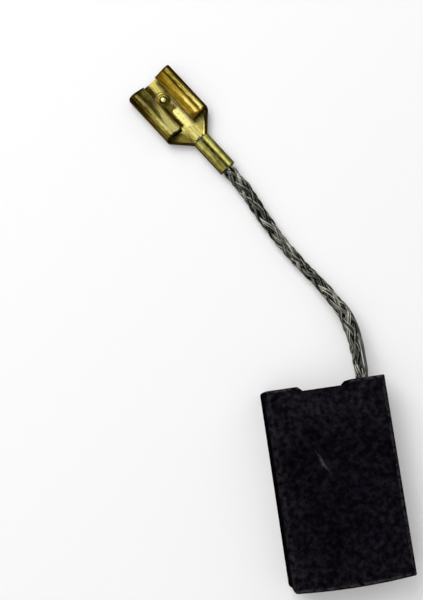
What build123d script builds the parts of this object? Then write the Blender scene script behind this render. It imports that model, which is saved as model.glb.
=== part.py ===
from build123d import *
import math
import os

# A carbon brush for the motor of a large hand-held power tool, in millimetres.
# It lies on a broad side, as it comes to rest on a bench: X runs across the block,
# Y along it towards the lead, and Z up. The origin is under the block's middle.

# Carbon block
block_width = 16.0
block_thickness = 6.3
block_length = 26.3
side_chamfer = 0.45
sharp_corner = 0.2
rubbed_corner = 0.45
worn_corner = 0.65

# Shallow trough across the lead's end, where the holder's spring presses
trough_mouth = 7.2
trough_floor = 5.9
trough_depth = 0.6

# Contact end, bedded in to a commutator that lies across the block
commutator_radius = 18.0
commutator_overhang = 1.0
contact_crown = 0.38
contact_chamfer = 0.25

# Hole for the lead, and the packed powder that holds the lead in it
lead_inset = 2.4
hole_diameter = 3.2
hole_depth = 5.6
drill_angle = 118.0
powder_recess = 0.25

# Lead, a braid of tinned copper that lies on the bench beyond the block
lead_diameter = 1.9
lead_buried = 4.2
lead_straight_out = 1.0
lead_clear_of_bench = 0.01
# Places that the lead passes, from the mouth of its hole: across the block, along it,
# and how far the lead's middle is above its height on the bench
lead_places = [
    (-0.15, 7.95, 1.3),
    (-3.1, 13.15, 0.2),
    (-6.6, 18.0, 0.0),
    (-9.55, 23.5, 0.0),
    (-11.7, 28.5, 0.0),
    (-13.4, 31.0, 0.0),
]
bend_share = 0.45

# Terminal, folded from one strip of brass to grip a flat tab
sheet = 0.4
receptacle_width = 7.3
receptacle_length = 8.1
receptacle_height = 2.4
floor_bend = 0.7
wing_bend = 0.75
wing_slope = 27.0
wing_run = 1.7
wing_rim = 0.3
mouth_rim = 0.12
neck_length = 2.55
neck_wall = 1.2
neck_end_wall = 1.1
barrel_length = 5.4
barrel_width = 2.4
barrel_height = 1.95
barrel_bend = 0.75
crimp_seam = 0.05
wing_tip = 0.1
lead_past_crimp = 0.45

# Tongue in the terminal's floor, with a dimple that snaps into the tab's hole
tongue_setback = 1.85
tongue_length = 3.1
tongue_width = 1.6
tongue_slit = 0.14
tongue_lift = 0.35
root_bend = 0.6
tip_bend = 2.2
tip_turn = 40.0
dimple_setback = 1.15
dimple_radius = 0.55
dimple_height = 0.3

# Worked out from the sizes above
block_side = block_width / 2
block_end = block_length / 2
block_middle = block_thickness / 2
lead_radius = lead_diameter / 2
lead_lie = lead_radius + lead_clear_of_bench
hole_mouth = Vector(block_side - lead_inset, block_end, block_middle)
neck_end = barrel_length + neck_length
terminal_length = neck_end + receptacle_length
tongue_root = terminal_length - tongue_setback - tongue_length
touching = 0.01

os.makedirs("parts", exist_ok=True)


# Carbon block


def block_plan():
    """The block from above, left too long at its contact end."""
    spare_end = -block_end - block_width
    trough_level = block_end - trough_depth
    outline = Polyline(
        (-block_side, spare_end),
        (-block_side, block_end),
        (-trough_mouth / 2, block_end),
        (-trough_floor / 2, trough_level),
        (trough_floor / 2, trough_level),
        (trough_mouth / 2, block_end),
        (block_side, block_end),
        (block_side, spare_end),
        close=True,
    )
    return make_face(outline.edges())


def commutator():
    """What the contact end is bedded in to: a cylinder with a slight waist."""
    to_axis = math.sqrt(commutator_radius**2 - block_middle**2)
    axis_y = -block_end - to_axis
    waist_y = axis_y + commutator_radius
    waist_radius = (block_side**2 + contact_crown**2) / (2 * contact_crown)
    reach = block_side + commutator_overhang
    flare = waist_radius - math.sqrt(waist_radius**2 - reach**2)
    surface = ThreePointArc((-reach, waist_y + flare), (0, waist_y), (reach, waist_y + flare))
    to_the_axis = Polyline(surface @ 1, (reach, axis_y), (-reach, axis_y), surface @ 0)
    profile = make_face([surface, *to_the_axis.edges()])
    return revolve(Pos(0, 0, block_middle) * profile, Axis((0, axis_y, block_middle), (1, 0, 0)))


def lead_hole():
    """The drilled hole with its pointed end."""
    radius = hole_diameter / 2
    point = radius / math.tan(math.radians(drill_angle / 2))
    half_section = Polyline(
        (0, 0), (radius, 0), (radius, -hole_depth), (0, -hole_depth - point), close=True
    )
    return Pos(hole_mouth) * revolve(make_face(half_section.edges()), Axis.Y)


def on_a_side(edge):
    return abs(abs(edge.center().X) - block_side) < touching


def on_contact_rim(edge):
    """Whether an edge is where the contact end meets one of the broad sides."""
    place = edge.center()
    broad_side = abs(abs(place.Z - block_middle) - block_middle) < touching
    return broad_side and abs(place.X) < touching and place.Y < 0


def rounded_corner(block, right, lead_end, radius):
    """The block with one of its four upright corners rounded."""

    def is_the_corner(edge):
        place = edge.center()
        upright = abs(place.Z - block_middle) < touching
        return on_a_side(edge) and upright and (place.X > 0) == right and (place.Y > 0) == lead_end

    return fillet(block.edges().filter_by(is_the_corner), radius)


def carbon_block():
    block = extrude(block_plan(), block_thickness)
    long_edges = block.edges().filter_by(Axis.Y).filter_by(on_a_side)
    block = chamfer(long_edges, side_chamfer) - commutator()
    block = chamfer(block.edges().filter_by(on_contact_rim), contact_chamfer)
    block = rounded_corner(block, right=False, lead_end=True, radius=rubbed_corner)
    block = rounded_corner(block, right=True, lead_end=True, radius=sharp_corner)
    block = rounded_corner(block, right=False, lead_end=False, radius=worn_corner)
    block = rounded_corner(block, right=True, lead_end=False, radius=sharp_corner)
    return block - lead_hole()


# Lead


def lead_route():
    """The lead's corners: its buried end, just outside its hole, and the places it passes."""
    buried_end = hole_mouth - Vector(0, lead_buried, 0)
    outside = hole_mouth + Vector(0, lead_straight_out, 0)
    passed = [
        Vector(hole_mouth.X + across, hole_mouth.Y + along, lead_lie + rise)
        for across, along, rise in lead_places
    ]
    return [buried_end, outside, *passed]


def bend_radii(route):
    """A radius for each corner, as large as its two runs allow."""
    radii = []
    for before, corner, after in zip(route, route[1:], route[2:]):
        run_in = corner - before
        run_out = after - corner
        half_turn = math.radians(run_in.get_angle(run_out)) / 2
        radii.append(bend_share * min(run_in.length, run_out.length) / math.tan(half_turn))
    return radii


def lead_tube(route):
    radii = bend_radii(route)
    print("lead's bend radii", [round(radius, 1) for radius in radii])
    path = FilletPolyline(*route, radius=radii)
    start = Plane(path @ 0, z_dir=path % 0)
    tube = sweep(start * Circle(lead_radius), path=path)
    print("lead's length", round(path.length, 2))
    section_by_length = math.pi * lead_radius**2 * path.length
    print("tube's volume", round(tube.volume, 2), "section by length", round(section_by_length, 2))
    return tube


def crimped_lead():
    """The lead's end, squeezed to the inside of the terminal's barrel."""
    half_section = make_face(barrel_inside().edges())
    section = half_section + mirror(half_section, about=Plane.YZ)
    return extrude(across_terminal(0) * section, barrel_length + lead_past_crimp)


# Terminal, laid along Y from the mouth of its crimp barrel, with its floor on the bench


def across_terminal(along):
    """A plane across the terminal, whose sections are drawn with X sideways and Y up."""
    return Plane(origin=(0, along, 0), x_dir=(-1, 0, 0), z_dir=(0, 1, 0))


def folded(under, half_width, bend, wall_top, roll=None, turn=0):
    """One side of a folded strip, at a depth under its outer face, from the middle of its floor.
    Above its wall the strip turns inwards on the roll's radius."""
    floor = Line((0, under), (half_width - bend, under))
    corner = JernArc(floor @ 1, (1, 0), bend - under, 90)
    wall = Line(corner @ 1, (half_width - under, wall_top))
    if roll is None:
        return floor + corner + wall
    return floor + corner + wall + JernArc(wall @ 1, (0, 1), roll - under, turn)


def strip_section(*fold, run_on=0.0):
    """The whole section of a folded strip, which runs on straight beyond its last bend."""
    outer = folded(0, *fold)
    inner = folded(sheet, *fold)
    end = Line(outer @ 1, inner @ 1)
    if run_on:
        ahead = (outer % 1) * run_on
        end = Polyline(outer @ 1, outer @ 1 + ahead, inner @ 1 + ahead, inner @ 1)
    middle = Line(inner @ 0, outer @ 0)
    half = make_face([*outer.edges(), *end.edges(), *inner.edges(), *middle.edges()])
    return half + mirror(half, about=Plane.YZ)


def barrel_fold():
    """The barrel's folds: each wing rolls over and ends at the seam."""
    wing_roll = (barrel_width / 2 - crimp_seam / 2) / 2
    return barrel_width / 2, barrel_bend, barrel_height - wing_roll, wing_roll, 180


def barrel_inside():
    """Half of the outline that the crimped lead fills."""
    inner = folded(sheet, *barrel_fold())
    wing_level = barrel_fold()[2]
    tip_level = wing_level - wing_tip
    back = Polyline(inner @ 1, ((inner @ 1).X, tip_level), (0, tip_level), inner @ 0)
    return Wire([*inner.edges(), *back.edges()])


def crimp_barrel():
    return extrude(across_terminal(0) * strip_section(*barrel_fold(), run_on=wing_tip), barrel_length)


def neck():
    """The open channel that widens from the barrel to the receptacle."""
    narrow = across_terminal(barrel_length) * strip_section(barrel_width / 2, barrel_bend, neck_end_wall)
    wide = across_terminal(neck_end) * strip_section(receptacle_width / 2, floor_bend, neck_wall)
    return loft([narrow, wide], ruled=True)


def tongue_plan(width):
    """A tongue from above, rounded at its free end."""
    straight = tongue_length - tongue_width / 2
    root = Line((width / 2, tongue_root), (-width / 2, tongue_root))
    left = Line(root @ 1, (-width / 2, tongue_root + straight))
    tip = JernArc(left @ 1, (0, 1), width / 2, -180)
    right = Line(tip @ 1, root @ 0)
    return make_face([root, left, tip, right])


def tongue_side(under, rise):
    """The tongue's side view, at a depth under its upper face: up to its dimple, then down again."""
    slope = 2 * math.atan(tongue_lift / rise)
    climb_bend = rise / math.sin(slope) - root_bend
    bends = [
        (root_bend - sheet + under, math.degrees(slope)),
        (climb_bend + sheet - under, -math.degrees(slope)),
        (tip_bend + sheet - under, -tip_turn),
    ]
    side = JernArc((tongue_root, sheet - under), (1, 0), *bends[0])
    for radius, turn in bends[1:]:
        side += JernArc(side @ 1, side % 1, radius, turn)
    return side


def tongue():
    """The tongue, which rises to its pressed dimple and dips at its tip, to let the tab slide on."""
    rise = tongue_length - dimple_setback
    upper = tongue_side(0, rise)
    lower = tongue_side(sheet, rise)
    ends = [Line(lower @ 0, upper @ 0), Line(upper @ 1, lower @ 1)]
    side_view = make_face([*upper.edges(), *lower.edges(), *ends])
    strip = extrude(Plane.YZ * side_view, tongue_width / 2, both=True)
    blade = strip & extrude(tongue_plan(tongue_width), receptacle_height)
    dimple_level = sheet + tongue_lift
    ball_radius = (dimple_radius**2 + dimple_height**2) / (2 * dimple_height)
    ball = Pos(0, tongue_root + rise, dimple_level + dimple_height - ball_radius) * Sphere(ball_radius)
    above = Pos(0, tongue_root + rise, dimple_level - sheet / 2) * Box(
        2 * ball_radius, 2 * ball_radius, 2 * ball_radius, align=(Align.CENTER, Align.CENTER, Align.MIN)
    )
    return blade + (ball & above) - Pos(0, 0, -sheet) * ball


def receptacle():
    """The floor and the two wings that grip the tab, with the tongue cut and raised in the floor."""
    wall_top = receptacle_height - wing_bend
    fold = (receptacle_width / 2, floor_bend, wall_top, wing_bend, 90 + wing_slope)
    section = across_terminal(neck_end) * strip_section(*fold, run_on=wing_run)
    body = extrude(section, receptacle_length)
    window = extrude(tongue_plan(tongue_width + 2 * tongue_slit), sheet)
    return body - window + tongue()


def beyond_lead(shape, route):
    """Something of the terminal's, moved to the end of the lead and turned in line with it."""
    last_run = route[-1] - route[-2]
    turned = math.degrees(math.atan2(last_run.Y, last_run.X)) - 90
    return Pos(route[-1].X, route[-1].Y, 0) * Rot(0, 0, turned) * shape


def rounded_rim(strip, end, radius):
    """The strip with the outer edge of its wings rounded, at one end of the receptacle."""

    def is_the_rim(edge):
        place = edge.center()
        outer_bend = abs(edge.radius - wing_bend) < touching
        return outer_bend and place.Z > neck_wall and abs(place.Y - end) < touching

    return fillet(strip.edges().filter_by(GeomType.CIRCLE).filter_by(is_the_rim), radius)


def terminal():
    strip = crimp_barrel() + neck() + receptacle()
    strip = rounded_rim(strip, terminal_length, mouth_rim)
    return rounded_rim(strip, neck_end, wing_rim)


# The four pieces


def tamped_powder(lead):
    """The powder packed round the lead's buried end, a little under the block's surface."""
    above_powder = Pos(hole_mouth) * Box(2 * hole_diameter, 2 * powder_recess, 2 * hole_diameter)
    return lead_hole() - above_powder - lead


route = lead_route()
lead = lead_tube(route) + beyond_lead(crimped_lead(), route)
pieces = {
    "carbon_block": carbon_block(),
    "tamped_powder": tamped_powder(lead),
    "shunt_lead": lead,
    "terminal": beyond_lead(terminal(), route),
}
for name, piece in pieces.items():
    export_step(piece, f"parts/{name}.step")
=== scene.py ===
import bisect
import math
import random

import bpy
from mathutils import Euler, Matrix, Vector


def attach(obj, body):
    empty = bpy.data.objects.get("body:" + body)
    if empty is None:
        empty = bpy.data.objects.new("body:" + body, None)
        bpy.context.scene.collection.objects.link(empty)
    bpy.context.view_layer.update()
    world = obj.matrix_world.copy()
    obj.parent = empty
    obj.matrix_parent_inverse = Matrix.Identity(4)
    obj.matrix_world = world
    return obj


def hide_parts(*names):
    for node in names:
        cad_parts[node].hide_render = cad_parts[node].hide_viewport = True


# The carbon brush dressed for its picture: the lead becomes a real braid of wires, and every
# piece gets its finish. Named sizes and places are in millimetres, and the scene is in metres,
# in the same frame as the solids.

mm = 0.001

# Block
block_width = 16.0
block_length = 26.3
block_thickness = 6.3
block_crown = 0.38
block_side = block_width / 2
block_end = block_length / 2

# Scratch on the block
scratch_place = Vector((-2.0, 3.5, 0))
scratch_turn = 0.58
scratch_length = 4.2
scratch_reach = 0.27

# Lead, whose route is the one that its solid follows
lead_diameter = 1.9
lead_inset = 2.4
lead_buried = 4.2
lead_straight_out = 1.0
lead_clear_of_bench = 0.01
lead_line_steps = 60
# How far across and along from the hole's mouth, and how far above its lie on the bench
lead_places = [
    (-0.15, 7.95, 1.3),
    (-3.1, 13.15, 0.2),
    (-6.6, 18.0, 0.0),
    (-9.55, 23.5, 0.0),
    (-11.7, 28.5, 0.0),
    (-13.4, 31.0, 0.0),
]
lead_lie = lead_diameter / 2 + lead_clear_of_bench
hole_mouth = Vector((block_side - lead_inset, block_end, block_thickness / 2))

# Terminal, with its places measured from its barrel's mouth
barrel_length = 5.4
neck_length = 2.55
receptacle_length = 8.1
tongue_setback = 1.85
tongue_length = 3.1
dimple_setback = 1.15
lead_past_crimp = 0.45
neck_end = barrel_length + neck_length
terminal_end = neck_end + receptacle_length
tongue_root = terminal_end - tongue_setback - tongue_length
dimple_middle = terminal_end - tongue_setback - dimple_setback

# Braid
carriers_each_way = 4
wires_in_carrier = 8
core_wires = 12
loose_wires = 9
wire_diameter = 0.1
wire_pitch = 0.078
wire_clear_of_bench = 0.005
braid_lay = 12.0
weave_depth = 0.085
braid_step = 0.29
braid_seed = 20
# How wide the braid is, at distances from its buried end
braid_widths = [
    (4.2, 1.42),
    (8.0, 1.42),
    (12.5, 1.95),
    (16.0, 1.72),
    (20.0, 1.6),
    (27.0, 1.6),
    (31.0, 1.86),
    (37.6, 1.9),
]
# The braid's lean at the block, away from its loose wires, and where that lean dies out
block_lean = 0.2
lean_dies_out = (9.0, 13.0)
# The braid's height and width inside the barrel, and its drop to the barrel's middle
crimped_width = 1.5
crimped_height = 0.82
crimped_drop = 0.13
# How close the wires' layers are pressed there, and where the squeeze begins and ends
crimped_packing = 0.45
squeeze_before_mouth = 0.9
squeeze_past_mouth = 0.1

# How uneven the braid is: the carriers' sway is an angle, and a rate is an angle per millimetre
sway_rates = (0.35, 1.3)
carrier_sway = 0.085
carrier_slack = 0.022
wire_sway = 0.018
wire_scatter = 0.02
wire_lift = 0.035
longest_shortfall = 0.3

# Inner wires
inner_depths = (0.48, 0.34)
inner_sway = 0.05
inner_twist = 6.0

# Loose wires
loose_begin = (3.2, 3.9)
loose_end = (13.5, 17.0)
loose_spread = (0.0, 0.26)
loose_angle = 0.7
loose_sway = 0.05
loose_radius = 0.68
loose_bulge = 0.1
loose_comes_out_over = 1.5
loose_goes_in_over = 3.5
loose_goes_in_by = 0.3

# Tones of the wires, from 0 for dull to 1 for bright
middle_tone = 0.5
carrier_tone_reach = 0.18
wire_tone_reach = 0.38
# The inner wires' low tones are painted shade inside the braid
shaded_inner_tones = (0.0, 0.25)
loose_tones = (0.1, 0.8)

# Carbon, from the pits between its grains to the grains
carbon_shades = [
    (0.38, (0.0006, 0.0004, 0.0010)),
    (0.5, (0.0036, 0.0027, 0.0050)),
    (0.6, (0.0085, 0.0066, 0.0110)),
    (0.7, (0.0160, 0.0130, 0.0190)),
]
scratched_carbon = (0.066, 0.058, 0.074)
# Rubbed edges, and the painted highlights along them
rubbed_and_highlit_carbon = (0.058, 0.050, 0.056)
handled_tint = (1.55, 1.6, 1.4)

# Powder and tinned wire, from dull to bright
powder_shades = [(0.3, (0.10, 0.055, 0.035)), (0.7, (0.34, 0.20, 0.13))]
wire_shades = [(0.1, (0.009, 0.009, 0.007)), (0.5, (0.12, 0.118, 0.098)), (0.88, (0.52, 0.51, 0.44))]

# Brass, from dark to pale: tarnish and painted shade at the dark end, clean metal and painted highlights
# at the pale end
lemon_brass = [
    (0.0, (0.012, 0.008, 0.002)),
    (0.25, (0.06, 0.040, 0.005)),
    (0.5, (0.22, 0.175, 0.034)),
    (0.75, (0.56, 0.475, 0.125)),
    (1.0, (0.97, 0.875, 0.32)),
]
# Warmer brass for the right wing: tarnish, with a painted warm reflection of the brass round it
golden_brass = [
    (0.0, (0.02, 0.012, 0.001)),
    (0.3, (0.17, 0.10, 0.006)),
    (0.5, (0.28, 0.175, 0.015)),
    (0.75, (0.55, 0.415, 0.07)),
    (1.0, (0.90, 0.78, 0.24)),
]
barrel_tint = (0.9, 1.0, 1.05)
brass_glint = (0.4, 0.32, 0.12)

# Camera
camera_place = Vector((-21.41, 10.11, 148.32))
camera_turn = Euler((0.118, -0.04284, -0.1457), "XYZ")
lens_length = 66.0
film_width = 36.0
nearest_seen = 5.0
farthest_seen = 10000.0

# Studio: each softbox has a name, a place, a side and a power, and all of them point at one place
softboxes = [
    ("back_softbox", Vector((-240.0, 360.0, 440.0)), 450.0, 2.6),
    ("left_softbox", Vector((-420.0, -120.0, 420.0)), 500.0, 0.6),
    ("right_softbox", Vector((380.0, 280.0, 270.0)), 300.0, 0.22),
]
lit_place = Vector((0.0, 30.0, 0.0))
# The room's grey at heights from the horizon to overhead, and as the camera sees it
room_shades = [(0.0, 0.05), (0.5, 0.08), (0.78, 0.45), (0.93, 0.70)]
seen_room_shade = 0.92
floor_side = 3000.0
# The paper's grey and glow as the camera and metal see it, and its grey for all other light
paper_shade = 0.88
paper_glow = 0.12
unseen_paper_shade = 0.7

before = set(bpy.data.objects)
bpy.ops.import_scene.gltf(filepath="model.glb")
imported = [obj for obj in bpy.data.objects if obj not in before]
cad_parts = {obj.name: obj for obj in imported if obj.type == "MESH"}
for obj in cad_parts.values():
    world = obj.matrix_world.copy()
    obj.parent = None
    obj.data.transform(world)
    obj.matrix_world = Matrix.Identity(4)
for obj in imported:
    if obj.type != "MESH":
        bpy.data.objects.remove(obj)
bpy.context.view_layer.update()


# Camera and lamps


def place_camera():
    """Looks down on the brush from where the photo was taken."""
    data = bpy.data.cameras.new("camera")
    data.lens = lens_length
    data.sensor_width = film_width
    data.clip_start = nearest_seen * mm
    data.clip_end = farthest_seen * mm
    camera = bpy.data.objects.new("camera", data)
    camera.location = camera_place * mm
    camera.rotation_euler = camera_turn
    bpy.context.scene.collection.objects.link(camera)
    bpy.context.scene.camera = camera


def add_softbox(name, place, side, power):
    """A square lamp that points at the brush."""
    data = bpy.data.lights.new(name, "AREA")
    data.shape = "SQUARE"
    data.size = side * mm
    data.energy = power
    lamp = bpy.data.objects.new(name, data)
    lamp.location = place * mm
    lamp.rotation_euler = (lit_place - place).to_track_quat("-Z", "Y").to_euler()
    bpy.context.scene.collection.objects.link(lamp)


# Shader maths

# A Mix node's sockets: it has one pair for numbers and another for colours
factor_in = 0
numbers_in = (2, 3)
colours_in = (6, 7)
colour_out = 2


class Socket:
    """An output of a node, which can be used in sums."""

    def __init__(self, recipe, link):
        self.recipe = recipe
        self.link = link

    def maths(self, operation, first, second):
        return self.recipe.node("ShaderNodeMath", {"operation": operation}, {0: first, 1: second})

    def __add__(self, other):
        return self.maths("ADD", self, other)

    def __radd__(self, other):
        return self.maths("ADD", other, self)

    def __sub__(self, other):
        return self.maths("SUBTRACT", self, other)

    def __rsub__(self, other):
        return self.maths("SUBTRACT", other, self)

    def __mul__(self, other):
        return self.maths("MULTIPLY", self, other)

    def __rmul__(self, other):
        return self.maths("MULTIPLY", other, self)

    def __truediv__(self, other):
        return self.maths("DIVIDE", self, other)

    def root(self):
        return self.maths("SQRT", self, 0.0)

    def larger(self, other):
        return self.maths("MAXIMUM", self, other)

    def size(self):
        """Its size, without its sign."""
        return self.maths("ABSOLUTE", self, 0.0)


class Recipe:
    """A material or the world, built up node by node."""

    def __init__(self, tree):
        self.tree = tree
        self.tree.nodes.clear()

    def node(self, kind, settings=None, inputs=None, output=0):
        """Adds a node: its settings first, then the values or links of its sockets."""
        made = self.tree.nodes.new(kind)
        for name, value in (settings or {}).items():
            if name == "stops":
                self.set_stops(made.color_ramp, value)
            else:
                setattr(made, name, value)
        for name, value in (inputs or {}).items():
            if isinstance(value, Socket):
                self.tree.links.new(value.link, made.inputs[name])
            else:
                made.inputs[name].default_value = value
        return Socket(self, made.outputs[output]) if made.outputs else None

    def set_stops(self, ramp, stops):
        while len(ramp.elements) > 1:
            ramp.elements.remove(ramp.elements[-1])
        ramp.elements[0].position, ramp.elements[0].color = stops[0][0], shade(stops[0][1])
        for position, value in stops[1:]:
            ramp.elements.new(position).color = shade(value)

    def ramp(self, factor, stops):
        return self.node("ShaderNodeValToRGB", {"stops": stops}, {"Fac": factor})

    def mix_colours(self, factor, first, second, blend="MIX"):
        settings = {"data_type": "RGBA", "blend_type": blend}
        values = {factor_in: factor, colours_in[0]: shade(first), colours_in[1]: shade(second)}
        return self.node("ShaderNodeMix", settings, values, output=colour_out)

    def mix(self, factor, first, second):
        values = {factor_in: factor, numbers_in[0]: first, numbers_in[1]: second}
        return self.node("ShaderNodeMix", {"data_type": "FLOAT"}, values)

    def laid_over(self, base, layers):
        """A number with others laid over it in turn, each through its own mask."""
        for mask, value in layers:
            base = self.mix(mask, base, value)
        return base

    def places(self, scale=(1, 1, 1)):
        """Places on the piece in metres, stretched."""
        return self.stretched(self.node("ShaderNodeTexCoord", output="Object"), scale)

    def own_places(self, origin, turned):
        """Places on the piece in millimetres, from an origin and a turn about Z of its own."""
        where = self.node("ShaderNodeTexCoord", output="Object")
        values = {"Vector": where, "Location": origin, "Rotation": (0, 0, turned), "Scale": (mm, mm, mm)}
        return self.node("ShaderNodeMapping", {"vector_type": "TEXTURE"}, values)

    def stretched(self, where, scale):
        return self.node("ShaderNodeMapping", {}, {"Vector": where, "Scale": scale})

    def parts(self, vector):
        """A vector's three numbers."""
        first = self.node("ShaderNodeSeparateXYZ", {}, {0: vector})
        return [Socket(self, part) for part in first.link.node.outputs]

    def upright(self):
        """How far the surface faces up, from -1 to 1."""
        return self.parts(self.node("ShaderNodeNewGeometry", output="Normal"))[2]

    def rises(self, value, low, high):
        """A mask that goes smoothly from 0 at low to 1 at high."""
        values = {"Value": value, "From Min": low, "From Max": high}
        return self.node("ShaderNodeMapRange", {"interpolation_type": "SMOOTHSTEP"}, values)

    def falls(self, value, low, high):
        """A mask that goes smoothly from 1 at low to 0 at high."""
        return 1 - self.rises(value, low, high)

    def band(self, value, middle, reach):
        """A mask that is 1 in the middle of a band and falls smoothly to 0 at its reach."""
        return self.falls((value - middle).size(), 0.2 * reach, reach)

    def noise(self, where, scale, detail=2.0, roughness=0.5):
        values = {"Vector": where, "Scale": scale, "Detail": detail, "Roughness": roughness}
        return self.node("ShaderNodeTexNoise", {}, values)

    def bump(self, height, distance, strength=1.0):
        values = {"Height": height, "Distance": distance, "Strength": strength}
        return self.node("ShaderNodeBump", {}, values)

    def finish_surface(self, **inputs):
        """The shader that all the piece's colours and numbers feed."""
        named = {name.replace("_", " "): value for name, value in inputs.items()}
        surface = self.node("ShaderNodeBsdfPrincipled", {}, named)
        self.node("ShaderNodeOutputMaterial", {}, {"Surface": surface})


def shade(value):
    """A grey or a colour as Blender wants it."""
    if isinstance(value, Socket):
        return value
    if isinstance(value, (int, float)):
        return (value, value, value, 1.0)
    return (*value, 1.0)


def new_material(name):
    material = bpy.data.materials.new(name)
    material.use_nodes = True
    return material, Recipe(material.node_tree)


# Carbon


def carbon_scratch(recipe, mottle, patches):
    """A ragged scratch on the block's upper side, fainter towards the lead."""
    beside, lengthwise, height = recipe.parts(recipe.own_places(scratch_place * mm, scratch_turn))
    wandering_off = 1.3 * (mottle - 0.5) + 1.5 * (patches - 0.5)
    scratch = recipe.band(beside + wandering_off, 0.0, scratch_reach)
    scratch *= 0.4 + recipe.falls(lengthwise, -1.2, 1.2)
    scratch *= recipe.band(lengthwise, 0.0, scratch_length / 2)
    return scratch * recipe.rises(height, block_thickness - 0.1, block_thickness)


def carbon_margins(recipe, across, along, past_crown):
    """The block's margins, which handling has made a little paler."""
    margins = recipe.rises(along, 4.0, 12.0)
    margins = margins.larger(0.8 * recipe.rises(past_crown, 8.0, 12.5))
    return margins.larger(0.7 * recipe.rises(across.size(), 3.0, 7.5))


def rubbed_and_highlit_edges(recipe, across, along, past_crown):
    """The block's rubbed edges, with painted highlights along them, most of all on the lead's side and
    at the lead's end.
    """
    edges = recipe.rises(across, block_side - 0.6, block_side - 0.4)
    edges = edges.larger(0.25 * recipe.rises(-1 * across, block_side - 0.9, block_side - 0.6))
    edges = edges.larger(0.7 * recipe.rises(past_crown, block_end - 0.65, block_end - 0.4))
    return edges.larger(recipe.rises(along, block_end - 0.45, block_end - 0.2))


def pressed_carbon():
    """Ground carbon graphite, nearly black, with paler margins, rubbed edges with painted highlights,
    painted shade on its steep sides and one scratch.
    """
    material, recipe = new_material("pressed_carbon")
    where = recipe.places()
    mottle = recipe.noise(where, 1300.0, 5.0, 0.65)
    patches = recipe.noise(where, 160.0, 3.0, 0.6)
    grinding = recipe.noise(recipe.places((9.0, 0.35, 9.0)), 1500.0, 3.0, 0.6)
    across, along, height = recipe.parts(recipe.own_places((0, 0, 0), 0.0))
    share_across = across / block_side
    past_crown = block_crown * share_across * share_across - along
    near_top = recipe.rises(height, block_thickness - 0.6, block_thickness - 0.2)
    faces_up = recipe.rises(recipe.upright(), 0.1, 0.95)

    colour = recipe.ramp(0.75 * mottle + 0.25 * patches, carbon_shades)
    scratch = carbon_scratch(recipe, mottle, patches)
    colour = recipe.mix_colours(1.2 * scratch * mottle, colour, scratched_carbon)
    margins = carbon_margins(recipe, across, along, past_crown)
    colour = recipe.mix_colours(margins, colour, handled_tint, "MULTIPLY")
    edges = rubbed_and_highlit_edges(recipe, across, along, past_crown) * near_top
    edges *= recipe.rises(mottle, 0.38, 0.58)
    # Rubbed edges, with painted highlights along the lead's side and both ends
    colour = recipe.mix_colours(0.7 * edges, colour, rubbed_and_highlit_carbon)
    # Painted shade: the steep sides are darkened towards black
    colour = recipe.mix_colours(0.65 * (1 - faces_up), colour, 0.0)
    recipe.finish_surface(
        Base_Color=colour,
        Roughness=0.42 + 0.25 * mottle,
        Specular_IOR_Level=0.0,
        Coat_Weight=0.02 * faces_up,
        Coat_Roughness=0.4,
        Normal=recipe.bump(0.6 * grinding + 0.4 * mottle, 0.03 * mm, 0.6),
    )
    return material


# Powder and wire


def packed_powder():
    """Copper powder, tamped hard round the lead."""
    material, recipe = new_material("packed_powder")
    grains = recipe.noise(recipe.places(), 9000.0, 3.0, 0.7)
    recipe.finish_surface(
        Base_Color=recipe.ramp(grains, powder_shades),
        Metallic=0.6,
        Roughness=0.7,
        Normal=recipe.bump(grains, 0.08 * mm),
    )
    return material


def tinned_wire():
    """Fine tinned copper wire, each wire dulled to its own shade of olive grey."""
    material, recipe = new_material("tinned_wire")
    tone = recipe.node("ShaderNodeAttribute", {"attribute_name": "wire_tone"}, output="Fac")
    dulled = recipe.noise(recipe.places(), 1400.0, 3.0, 0.6)
    recipe.finish_surface(
        Base_Color=recipe.ramp(tone + 0.5 * (dulled - 0.5), wire_shades),
        Metallic=1.0,
        Roughness=0.36,
        Specular_Tint=shade(0.5),
    )
    return material


# Brass, where 0 is dark and 1 is pale: tarnish, painted shade and painted highlights share this one
# scale


def brass_floor(recipe, across, along, from_dimple):
    """How pale the floor is: a little darker towards the mouth, with painted shade in one corner by the
    left wing, in a ring round the dimple and at the sides of its neck, a painted dark reflection on its
    tongue and a painted highlight on the dimple's crest.
    """
    in_receptacle = recipe.rises(along, neck_end + 0.25, neck_end + 0.65)
    in_neck = recipe.falls(along, neck_end - 0.55, neck_end + 0.65)
    tongue = recipe.band(across, 0.12, 0.9) * recipe.rises(along, tongue_root - 0.2, tongue_root + 0.05)
    tongue *= recipe.falls(along, dimple_middle + 0.25, dimple_middle + 0.75)
    towards_mouth = recipe.rises(along, dimple_middle - 0.65, dimple_middle + 0.95)
    left_corner = recipe.band(across, -0.62, 0.66) * in_receptacle
    dimple_rim = recipe.band(from_dimple, 0.8, 0.3)
    dimple_crest = recipe.falls(from_dimple, 0.3, 0.5)
    left_of_neck = recipe.rises(-1 * across, 0.0, 1.2) * in_neck
    right_of_neck = recipe.rises(across, 0.7, 1.7) * in_neck
    # Painted light: the corner, the dimple's rim and the neck's sides are painted shade, the tongue a
    # dark reflection, the crest a highlight
    layers = [
        (towards_mouth, 0.7),
        (left_corner, 0.12),
        (tongue, 0.42),
        (dimple_rim, 0.26),
        (dimple_crest, 0.95),
        (in_neck, 0.8),
        (left_of_neck, 0.44),
        (right_of_neck, 0.66),
    ]
    return recipe.laid_over(1.0, layers)


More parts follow.
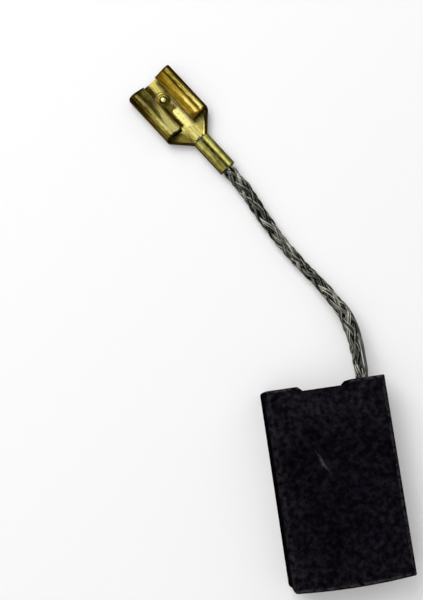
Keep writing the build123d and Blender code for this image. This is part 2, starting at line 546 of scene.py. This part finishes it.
def brass_barrel(recipe, across, along):
    """How pale the barrel is: a painted highlight along one side of its seam, brown along the other."""
    towards_neck = recipe.rises(along, 1.8, 3.4)
    seam = recipe.band(across, -0.08, 0.4)
    highlit_side = recipe.band(across, 0.38, 0.28)
    brown_side = recipe.band(across, 0.95, 0.3)
    layers = [(towards_neck, 0.65), (seam, 0.8), (highlit_side, 0.82), (brown_side, 0.44)]
    return recipe.laid_over(0.57, layers)


def brass_left_wing(recipe, across, to_rear):
    """How pale the left wing is: two painted highlights along it with a painted dark line between,
    brighter towards its rear, and painted shade on its outer wall.
    """
    outer_highlight = recipe.band(across, -2.62, 0.36)
    painted_dark_line = recipe.band(across, -2.36, 0.16)
    inner_highlight = recipe.band(across + 0.6 * to_rear, -1.3, 0.66)
    outer_wall = recipe.rises(-1 * across, 2.78, 3.05)
    clean_and_lit = 0.32 + 0.32 * to_rear
    clean_and_lit += 0.36 * outer_highlight + (0.2 + 0.6 * to_rear) * inner_highlight - 0.16 * painted_dark_line
    return recipe.mix(outer_wall, clean_and_lit, 0.12 + 0.36 * to_rear)


def brass_right_wing(recipe, across, to_rear):
    """How pale the right wing is: it has the same painted highlights and dark line, and painted shade on
    its outer wall.
    """
    outer_highlight = recipe.band(across, 2.84, 0.36)
    painted_dark_line = recipe.band(across, 2.46, 0.17)
    inner_highlight = recipe.band(across, 2.02, 0.36)
    outer_wall = recipe.rises(across, 3.14, 3.3)
    clean_and_lit = 0.3 + 0.1 * to_rear
    clean_and_lit += (0.23 + 0.27 * to_rear) * outer_highlight + (0.24 + 0.28 * to_rear) * inner_highlight
    clean_and_lit -= 0.18 * painted_dark_line
    return recipe.mix(outer_wall, clean_and_lit, 0.12)


def strip_brass(origin, turned):
    """Stamped strip brass: pale on its floor, tarnished and marked with painted highlights and shade on
    its wings, with painted shade on its steep walls.
    """
    material, recipe = new_material("strip_brass")
    place = recipe.own_places(origin, turned)
    mottle = recipe.noise(place, 1.7, 4.0, 0.6)
    streaks = recipe.noise(recipe.stretched(place, (4.0, 0.4, 4.0)), 1.0, 4.0, 0.65)
    draw_lines = recipe.noise(recipe.stretched(place, (9.0, 0.45, 9.0)), 1.0, 3.0, 0.7)
    across, along, height = recipe.parts(place)
    past_dimple = along - dimple_middle
    from_dimple = (past_dimple * past_dimple + across * across).root()
    across += 0.3 * (mottle - 0.5)
    along += 1.2 * (mottle - 0.5)

    on_barrel = recipe.falls(along, barrel_length - 0.4, barrel_length + 0.2)
    on_wing = recipe.rises(height, 1.05, 1.25) * recipe.rises(along, neck_end - 0.45, neck_end - 0.25)
    on_left = on_wing * recipe.rises(-1 * across, 0.2, 0.6)
    on_right = on_wing * recipe.rises(across, 0.2, 0.6)
    to_rear = recipe.falls(along, neck_end + 1.65, neck_end + 6.05)
    layers = [
        (on_barrel, brass_barrel(recipe, across, along)),
        (on_left, brass_left_wing(recipe, across, to_rear)),
        (on_right, brass_right_wing(recipe, across, to_rear)),
    ]
    clean_and_lit = recipe.laid_over(brass_floor(recipe, across, along, from_dimple), layers)
    clean_and_lit += 0.6 * (streaks - 0.5) + 0.45 * (mottle - 0.5) + 1.3 * on_wing * (draw_lines - 0.5)
    # Painted shade: the steep walls are darkened by how far they face away from overhead
    clean_and_lit *= 0.12 + 0.88 * recipe.rises(recipe.upright(), -0.45, 0.85)

    neck_rims = recipe.rises(along, barrel_length - 0.2, barrel_length + 0.2)
    neck_rims *= recipe.falls(along, neck_end - 0.15, neck_end + 0.35) * recipe.rises(height, 0.85, 1.0)
    rear_ends = recipe.falls(along, neck_end + 0.25, neck_end + 0.65)
    front_ends = recipe.rises(along, terminal_end - 0.45, terminal_end - 0.15)
    wing_ends = on_wing * rear_ends.larger(0.7 * front_ends)
    shaded_rear = recipe.falls(along, neck_end + 0.35, neck_end + 1.15)
    shaded_front = recipe.rises(along, terminal_end - 1.15, terminal_end - 0.35)
    shaded_patch = shaded_rear.larger(0.6 * shaded_front) * on_right * recipe.falls(across, 1.8, 2.3)
    # The neck's rims are darkened. Painted shade: the wings' ends, and two patches on the right wing
    # near its inner edge
    clean_and_lit = recipe.laid_over(clean_and_lit, [(neck_rims, 0.12), (wing_ends, 0.08), (shaded_patch, 0.13)])

    # The right wing's golden tones: tarnish, and a painted warm reflection of the brass round it
    is_golden = on_right * (1 - 0.7 * recipe.rises(across, 2.3, 2.6))
    lemon = recipe.ramp(clean_and_lit, lemon_brass)
    colour = recipe.mix_colours(is_golden, lemon, recipe.ramp(clean_and_lit, golden_brass))
    recipe.finish_surface(
        Base_Color=recipe.mix_colours(on_barrel, colour, barrel_tint, "MULTIPLY"),
        Metallic=1.0,
        Roughness=0.2 + 0.16 * streaks,
        Specular_Tint=shade(brass_glint),
        Normal=recipe.bump(streaks, 0.04 * mm, 0.6),
    )
    return material


def dress(piece, material):
    piece.data.materials.clear()
    piece.data.materials.append(material)


# Floor and room


def pale_paper():
    """Pale paper that shows nearly white to the camera and in metal, and still takes a shadow."""
    material, recipe = new_material("pale_paper")
    from_camera = recipe.node("ShaderNodeLightPath", output="Is Camera Ray")
    from_metal = recipe.node("ShaderNodeLightPath", output="Is Glossy Ray")
    lit = recipe.node("ShaderNodeBsdfDiffuse", {}, {"Color": shade(paper_shade)})
    glow = recipe.node("ShaderNodeEmission", {}, {"Color": shade(1.0), "Strength": paper_glow})
    shown = recipe.node("ShaderNodeAddShader", {}, {0: lit, 1: glow})
    unseen = recipe.node("ShaderNodeBsdfDiffuse", {}, {"Color": shade(unseen_paper_shade)})
    surface = recipe.node("ShaderNodeMixShader", {}, {0: from_camera + from_metal, 1: unseen, 2: shown})
    recipe.node("ShaderNodeOutputMaterial", {}, {"Surface": surface})
    return material


def lay_floor():
    bpy.ops.mesh.primitive_plane_add(size=floor_side * mm, location=(0, 0, 0))
    floor = bpy.context.object
    floor.name = "floor"
    dress(floor, pale_paper())


def light_studio():
    """A room that is pale overhead and dark towards the horizon, with three softboxes."""
    world = bpy.data.worlds.new("studio")
    bpy.context.scene.world = world
    world.use_nodes = True
    recipe = Recipe(world.node_tree)
    height = recipe.parts(recipe.node("ShaderNodeTexCoord", output="Generated"))[2]
    from_camera = recipe.node("ShaderNodeLightPath", output="Is Camera Ray")
    room = recipe.mix_colours(from_camera, recipe.ramp(height, room_shades), seen_room_shade)
    light = recipe.node("ShaderNodeBackground", {}, {"Color": room, "Strength": 1.0})
    recipe.node("ShaderNodeOutputWorld", {}, {"Surface": light})
    for softbox in softboxes:
        add_softbox(*softbox)


# Lead


def lead_route():
    """The corners of the lead's route, which ends just past the terminal's barrel."""
    buried_end = hole_mouth - Vector((0, lead_buried, 0))
    outside = hole_mouth + Vector((0, lead_straight_out, 0))
    passed = [
        Vector((hole_mouth.x + across, hole_mouth.y + along, lead_lie + rise))
        for across, along, rise in lead_places
    ]
    through_barrel = barrel_length + lead_past_crimp
    passed[-1] = passed[-1] + (passed[-1] - passed[-2]).normalized() * through_barrel
    return [place * mm for place in [buried_end, outside, *passed]]


def new_curve(name):
    data = bpy.data.curves.new(name, "CURVE")
    data.dimensions = "3D"
    return data


def points_along(route):
    """Points of the smooth line that the route's corners control."""
    data = new_curve("lead_line")
    data.resolution_u = lead_line_steps
    line = data.splines.new("NURBS")
    line.points.add(len(route) - 1)
    for point, place in zip(line.points, route):
        point.co = (*place, 1.0)
    line.order_u = 3
    line.use_endpoint_u = True
    guide = bpy.data.objects.new("lead_line", data)
    bpy.context.scene.collection.objects.link(guide)
    bpy.context.view_layer.update()
    mesh = bpy.data.meshes.new_from_object(guide.evaluated_get(bpy.context.evaluated_depsgraph_get()))
    places = [vertex.co.copy() for vertex in mesh.vertices]
    bpy.data.objects.remove(guide)
    bpy.data.meshes.remove(mesh)
    return places


class LeadLine:
    """The lead's smooth line, with a side that is carried along it without twisting."""

    def __init__(self, places):
        self.places = places
        self.reached = [0.0]
        for before, after in zip(places, places[1:]):
            self.reached.append(self.reached[-1] + (after - before).length)
        self.length = self.reached[-1]
        self.sides = self.carried_sides()

    def direction(self, index):
        last = len(self.places) - 1
        return (self.places[min(index + 1, last)] - self.places[max(index - 1, 0)]).normalized()

    def carried_sides(self):
        side = Vector((1, 0, 0))
        sides = []
        for index in range(len(self.places)):
            along = self.direction(index)
            side = (side - along * side.dot(along)).normalized()
            sides.append(side.copy())
        return sides

    def at(self, distance):
        """The place, the side and the upward direction at a distance from the buried end."""
        distance = min(max(distance, 0.0), self.length)
        index = min(bisect.bisect_right(self.reached, distance) - 1, len(self.reached) - 2)
        step = self.reached[index + 1] - self.reached[index]
        share = (distance - self.reached[index]) / step if step else 0.0
        place = self.places[index].lerp(self.places[index + 1], share)
        side = self.sides[index].lerp(self.sides[index + 1], share).normalized()
        along = self.direction(index)
        return place, side, along.cross(side).normalized()


# Braid


def between(value, low, high):
    """How far a value is from low to high, from 0 to 1, eased at both ends."""
    share = min(max((value - low) / (high - low), 0.0), 1.0)
    return share * share * (3 - 2 * share)


def braid_width(distance):
    """The braid's width at a distance from its buried end."""
    width = braid_widths[0][1]
    for (start, _), (end, wider) in zip(braid_widths, braid_widths[1:]):
        width += (wider - width) * between(distance, start, end)
    return width


def crimped(distance, total):
    """How far the braid is squeezed by the barrel, from 0 to 1."""
    mouth = total - barrel_length - lead_past_crimp
    return between(distance, mouth - squeeze_before_mouth, mouth + squeeze_past_mouth)


def lean(distance):
    """The braid's lean away from its loose wires, where it leaves the block."""
    return -block_lean * (1 - between(distance, *lean_dies_out))


def around(line, distance, angle, depth, aside=0.0):
    """A place in the braid: an angle round it, and a depth under its outer wires."""
    inside = crimped(distance, line.length / mm)
    wide = braid_width(distance) * (1 - inside) + crimped_width * inside
    tall = braid_width(distance) * (1 - inside) + crimped_height * inside
    under = depth * (1 - (1 - crimped_packing) * inside) + wire_diameter / 2
    centre, side, up = line.at(distance * mm)
    out = side * (math.cos(angle) * (wide / 2 - under) + aside * (1 - inside))
    out += up * (math.sin(angle) * (tall / 2 - under) - crimped_drop * inside)
    place = centre + out * mm
    place.z = max(place.z, (wire_diameter / 2 + wire_clear_of_bench) * mm)
    return place


def either_way(chance, reach):
    """A random number that is at most reach above or below 0."""
    return chance.uniform(-reach, reach)


def wandering(chance, reach):
    """A slow, uneven sway along the lead."""
    waves = [(chance.uniform(*sway_rates), chance.uniform(0, 2 * math.pi)) for _ in range(3)]
    return lambda distance: reach * sum(math.sin(distance * rate + start) for rate, start in waves)


def carried_wires(line, chance, shares):
    """The wires of the braid's carriers, which run round it both ways, over and under in turn."""
    wires = []
    for way in (1, -1):
        for carrier in range(carriers_each_way):
            start = (carrier + (0.5 if way < 0 else 0)) / carriers_each_way
            sway = wandering(chance, carrier_sway)
            slack = wandering(chance, carrier_slack)
            carrier_tone = middle_tone + either_way(chance, carrier_tone_reach)
            for wire in range(wires_in_carrier):
                from_middle = wire - (wires_in_carrier - 1) / 2
                across = from_middle * wire_pitch + either_way(chance, wire_scatter)
                lift = either_way(chance, wire_lift)
                own_sway = wandering(chance, wire_sway)
                end = line.length / mm - chance.uniform(0, longest_shortfall)
                places = []
                for share in shares:
                    distance = share * end
                    over = way * math.sin(2 * math.pi * carriers_each_way * distance / braid_lay)
                    depth = weave_depth * (1 - over) + slack(distance) + lift
                    half_width = braid_width(distance) / 2 - weave_depth
                    angle = 2 * math.pi * (way * distance / braid_lay + start)
                    angle += (across + own_sway(distance)) / half_width + sway(distance)
                    places.append(around(line, distance, angle, depth, lean(distance)))
                wires.append((places, carrier_tone + either_way(chance, wire_tone_reach)))
    return wires


def inner_wires(line, chance, shares):
    """The braid's inner wires, which fill it and close its gaps, with low tones as painted shade inside
    the braid.
    """
    wires = []
    for wire in range(core_wires):
        sway = wandering(chance, inner_sway)
        turn = 2 * math.pi * wire / core_wires
        depth = inner_depths[wire % 2]
        end = line.length / mm - chance.uniform(0, longest_shortfall)
        places = []
        for share in shares:
            distance = share * end
            angle = turn + share * inner_twist + sway(distance)
            places.append(around(line, distance, angle, depth, lean(distance)))
        wires.append((places, chance.uniform(*shaded_inner_tones)))
    return wires


def stray_wires(line, chance, shares):
    """Wires that have worked loose on the outer side of the first bend."""
    wires = []
    for _ in range(loose_wires):
        begin = chance.uniform(*loose_begin)
        end = chance.uniform(*loose_end)
        sway = wandering(chance, loose_sway)
        spread = chance.uniform(*loose_spread)
        start = either_way(chance, loose_angle)
        places = []
        for share in shares:
            distance = begin + (end - begin) * share
            come_out = between(distance, begin, begin + loose_comes_out_over)
            gone_in = between(distance, end - loose_goes_in_over, end)
            outside = (spread + loose_bulge * math.sin(math.pi * share)) * come_out * (1 - gone_in)
            depth = braid_width(distance) / 2 - loose_radius - outside + loose_goes_in_by * gone_in
            angle = start * (1 - 0.5 * share) + sway(distance)
            places.append(around(line, distance, angle, depth))
        wires.append((places, chance.uniform(*loose_tones)))
    return wires


def select_only(piece):
    bpy.ops.object.select_all(action="DESELECT")
    piece.select_set(True)
    bpy.context.view_layer.objects.active = piece


def make_braid(line):
    """One piece of all the braid's wires, each with its own tone."""
    chance = random.Random(braid_seed)
    steps = int(line.length / mm / braid_step)
    shares = [step / steps for step in range(steps + 1)]
    wires = carried_wires(line, chance, shares)
    wires += inner_wires(line, chance, shares)
    wires += stray_wires(line, chance, shares)
    data = new_curve("braided_lead")
    data.bevel_depth = wire_diameter / 2 * mm
    data.bevel_resolution = 1
    data.use_fill_caps = True
    for places, _ in wires:
        wire = data.splines.new("POLY")
        wire.points.add(len(places) - 1)
        for point, place in zip(wire.points, places):
            point.co = (*place, 1.0)
    braid = bpy.data.objects.new("braided_lead", data)
    bpy.context.scene.collection.objects.link(braid)
    select_only(braid)
    bpy.ops.object.convert(target="MESH")
    bpy.ops.object.shade_smooth()
    mesh = braid.data
    in_wire = len(mesh.vertices) // len(wires)
    tone = mesh.attributes.new("wire_tone", "FLOAT", "POINT")
    tone.data.foreach_set("value", [wire_tone for _, wire_tone in wires for _ in range(in_wire)])
    dress(braid, tinned_wire())
    return braid


# The picture

place_camera()
route = lead_route()
lead = LeadLine(points_along(route))
braid = make_braid(lead)
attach(braid, "root")
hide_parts("shunt_lead")

last_run = route[-1] - route[-2]
terminal_turn = math.atan2(last_run.y, last_run.x) - math.pi / 2
barrel_mouth = route[-1] - last_run.normalized() * (barrel_length + lead_past_crimp) * mm
barrel_mouth.z = 0
dress(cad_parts["carbon_block"], pressed_carbon())
dress(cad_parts["tamped_powder"], packed_powder())
dress(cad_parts["terminal"], strip_brass(barrel_mouth, terminal_turn))

lay_floor()
light_studio()
bpy.context.scene.view_settings.view_transform = "Standard"
